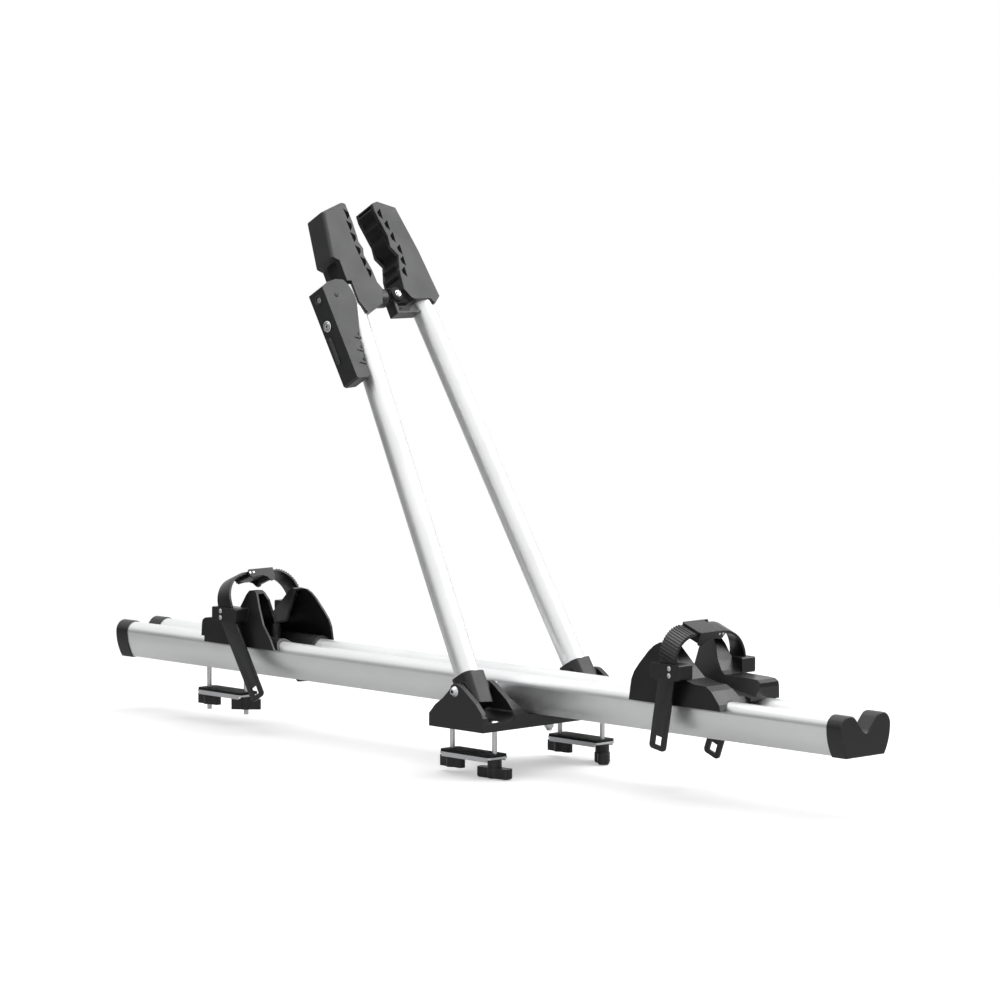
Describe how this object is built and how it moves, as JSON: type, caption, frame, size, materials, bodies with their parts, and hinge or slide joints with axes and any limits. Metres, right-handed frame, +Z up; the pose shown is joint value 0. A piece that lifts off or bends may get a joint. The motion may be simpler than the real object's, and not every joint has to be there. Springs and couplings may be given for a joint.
{
  "type": "roof mounted bike carrier",
  "caption": "Roof bike carrier: aluminium wheel rail on a bracket with folding frame arms, cam-lever jaw, strapped wheel trays and roof bar clamps.",
  "frame": {"origin": "centre of the base bracket's underside, where it sits on the front roof bar", "axes": "+X along the rail toward its front end cap (the car's front), +Y to the side away from the cam lever, +Z up"},
  "size_m": [1.2778, 0.246, 0.6727],
  "materials": {
    "aluminium": "satin anodised",
    "black_plastic": "fine grained",
    "grey_black_plastic": "fine grained, a little lighter where light falls",
    "strap_plastic": "smooth flexible",
    "black_rubber": "soft ribbed",
    "zinc_steel": "zinc plated",
    "chrome": "bright plated"
  },
  "bodies": {
    "carrier": {"rail": "aluminium", "front_end_cap": "black_plastic", "rear_end_cap": "black_plastic", "base_bracket": "black_plastic", "rail_bolts": "zinc_steel", "rail_dome_nuts": "zinc_steel", "pivot_bolts": "zinc_steel", "pivot_nuts": "zinc_steel", "pivot_bushes": "black_plastic", "front_carriage_bolts": "zinc_steel", "rear_t_bolts": "zinc_steel", "rear_stud_spacers": "black_plastic"},
    "near_arm": {"near_foot": "black_plastic", "near_tube": "aluminium", "near_jaw": "grey_black_plastic", "near_pad": "black_rubber", "cam_saddle": "black_plastic"},
    "rod": {"clamp_rod": "zinc_steel", "lever_pin": "zinc_steel", "barrel_nut": "zinc_steel"},
    "lever": {"cam_lever": "grey_black_plastic"},
    "lock": {"lock_cylinder": "chrome"},
    "far_arm": {"far_foot": "black_plastic", "far_tube": "aluminium", "far_jaw": "grey_black_plastic", "far_pad": "black_rubber"},
    "front_tray": {"front_wheel_tray": "black_plastic", "front_lug_pins": "zinc_steel", "front_tray_screw": "zinc_steel", "front_tray_nut": "zinc_steel", "front_toothed_strap": "strap_plastic", "front_plain_strap": "strap_plastic", "front_buckle_frame": "black_plastic", "front_buckle_pin": "zinc_steel"},
    "front_buckle": {"front_buckle_lever": "grey_black_plastic"},
    "rear_tray": {"rear_wheel_tray": "black_plastic", "rear_lug_pins": "zinc_steel", "rear_tray_screw": "zinc_steel", "rear_tray_nut": "zinc_steel", "rear_toothed_strap": "strap_plastic", "rear_plain_strap": "strap_plastic", "rear_buckle_frame": "black_plastic", "rear_buckle_pin": "zinc_steel"},
    "rear_buckle": {"rear_buckle_lever": "grey_black_plastic"},
    "near_front_clamp": {"near_front_clamp_plate": "zinc_steel", "near_front_clamp_pad": "black_rubber"},
    "far_front_clamp": {"far_front_clamp_plate": "zinc_steel", "far_front_clamp_pad": "black_rubber"},
    "rear_clamp": {"rear_clamp_plate": "zinc_steel", "rear_clamp_pad": "black_rubber"},
    "near_front_knob_body": {"near_front_knob": "black_plastic"},
    "far_front_knob_body": {"far_front_knob": "black_plastic"},
    "near_front_wing_nut_body": {"near_front_wing_nut": "black_plastic"},
    "far_front_wing_nut_body": {"far_front_wing_nut": "black_plastic"},
    "rear_front_wing_nut_body": {"rear_front_wing_nut": "black_plastic"},
    "rear_back_wing_nut_body": {"rear_back_wing_nut": "black_plastic"}
  },
  "joints": [
    {"name": "arm_fold", "type": "hinge", "parent": "carrier", "child": "near_arm", "pos_m": [-0.002, -0.09, 0.045], "axis": [0, 1, 0], "range_deg": [-45, 90]},
    {"name": "jaw_spread", "type": "hinge", "parent": "near_arm", "child": "far_arm", "pos_m": [-0.002, 0.09, 0.045], "axis": [-0.8729, 0, -0.4879], "range_deg": [0, 0.4516]},
    {"name": "rod_slide", "type": "slide", "parent": "near_arm", "child": "rod", "axis": [0, 1, 0], "range_m": [0, 0.00402]},
    {"name": "lever_swing", "type": "hinge", "parent": "rod", "child": "lever", "pos_m": [-0.2552, -0.092, 0.49805], "axis": [-0.8729, 0, -0.4879], "range_deg": [0, 80]},
    {"name": "lock_turn", "type": "hinge", "parent": "lever", "child": "lock", "pos_m": [-0.23725, -0.111, 0.46798], "axis": [0, 1, 0], "range_deg": [0, 90]},
    {"name": "front_tray_slide", "type": "slide", "parent": "carrier", "child": "front_tray", "axis": [1, 0, 0], "range_m": [-0.12, 0.14]},
    {"name": "rear_tray_slide", "type": "slide", "parent": "carrier", "child": "rear_tray", "axis": [-1, 0, 0], "range_m": [-0.12, 0.14]},
    {"name": "front_buckle_swing", "type": "hinge", "parent": "front_tray", "child": "front_buckle", "pos_m": [0.29046, 0.013, 0.13491], "axis": [-0.9367, 0, 0.3502], "range_deg": [0, 45], "stiffness_Nm_per_rad": 0.05, "springref_deg": -34.38},
    {"name": "rear_buckle_swing", "type": "hinge", "parent": "rear_tray", "child": "rear_buckle", "pos_m": [-0.50362, -0.013, 0.13604], "axis": [0.9272, 0, 0.3746], "range_deg": [0, 45], "stiffness_Nm_per_rad": 0.05, "springref_deg": -34.38},
    {"name": "near_front_plate_slide", "type": "slide", "parent": "carrier", "child": "near_front_clamp", "axis": [0, 0, 1], "range_m": [-0.003, 0.012]},
    {"name": "near_front_knob_turn", "type": "hinge", "parent": "near_front_clamp", "child": "near_front_knob_body", "pos_m": [0.0365, -0.09, -0.0485], "axis": [0, 0, 1], "range_deg": [-1081, 4321]},
    {"name": "near_front_wing_nut_turn", "type": "hinge", "parent": "near_front_clamp", "child": "near_front_wing_nut_body", "pos_m": [-0.0365, -0.09, -0.0485], "axis": [0, 0, 1], "range_deg": [-1081, 4321]},
    {"name": "far_front_plate_slide", "type": "slide", "parent": "carrier", "child": "far_front_clamp", "axis": [0, 0, 1], "range_m": [-0.003, 0.012]},
    {"name": "far_front_knob_turn", "type": "hinge", "parent": "far_front_clamp", "child": "far_front_knob_body", "pos_m": [0.0365, 0.09, -0.0485], "axis": [0, 0, 1], "range_deg": [-1081, 4321]},
    {"name": "far_front_wing_nut_turn", "type": "hinge", "parent": "far_front_clamp", "child": "far_front_wing_nut_body", "pos_m": [-0.0365, 0.09, -0.0485], "axis": [0, 0, 1], "range_deg": [-1081, 4321]},
    {"name": "rear_plate_slide", "type": "slide", "parent": "carrier", "child": "rear_clamp", "axis": [0, 0, 1], "range_m": [-0.003, 0.012]},
    {"name": "rear_front_wing_nut_turn", "type": "hinge", "parent": "rear_clamp", "child": "rear_front_wing_nut_body", "pos_m": [-0.521, 0, -0.0365], "axis": [0, 0, 1], "range_deg": [-1081, 4321]},
    {"name": "rear_back_wing_nut_turn", "type": "hinge", "parent": "rear_clamp", "child": "rear_back_wing_nut_body", "pos_m": [-0.594, 0, -0.0365], "axis": [0, 0, 1], "range_deg": [-1081, 4321]}
  ],
  "couplings": [
    {"joint": "rod_slide", "follows": "lever_swing", "m_per_rad": 0.0028648},
    {"joint": "jaw_spread", "follows": "lever_swing", "ratio": 0.0055198},
    {"joint": "near_front_knob_turn", "follows": "near_front_plate_slide", "rad_per_m": 6283.2},
    {"joint": "near_front_wing_nut_turn", "follows": "near_front_plate_slide", "rad_per_m": 6283.2},
    {"joint": "far_front_knob_turn", "follows": "far_front_plate_slide", "rad_per_m": 6283.2},
    {"joint": "far_front_wing_nut_turn", "follows": "far_front_plate_slide", "rad_per_m": 6283.2},
    {"joint": "rear_front_wing_nut_turn", "follows": "rear_plate_slide", "rad_per_m": 6283.2},
    {"joint": "rear_back_wing_nut_turn", "follows": "rear_plate_slide", "rad_per_m": 6283.2}
  ]
}
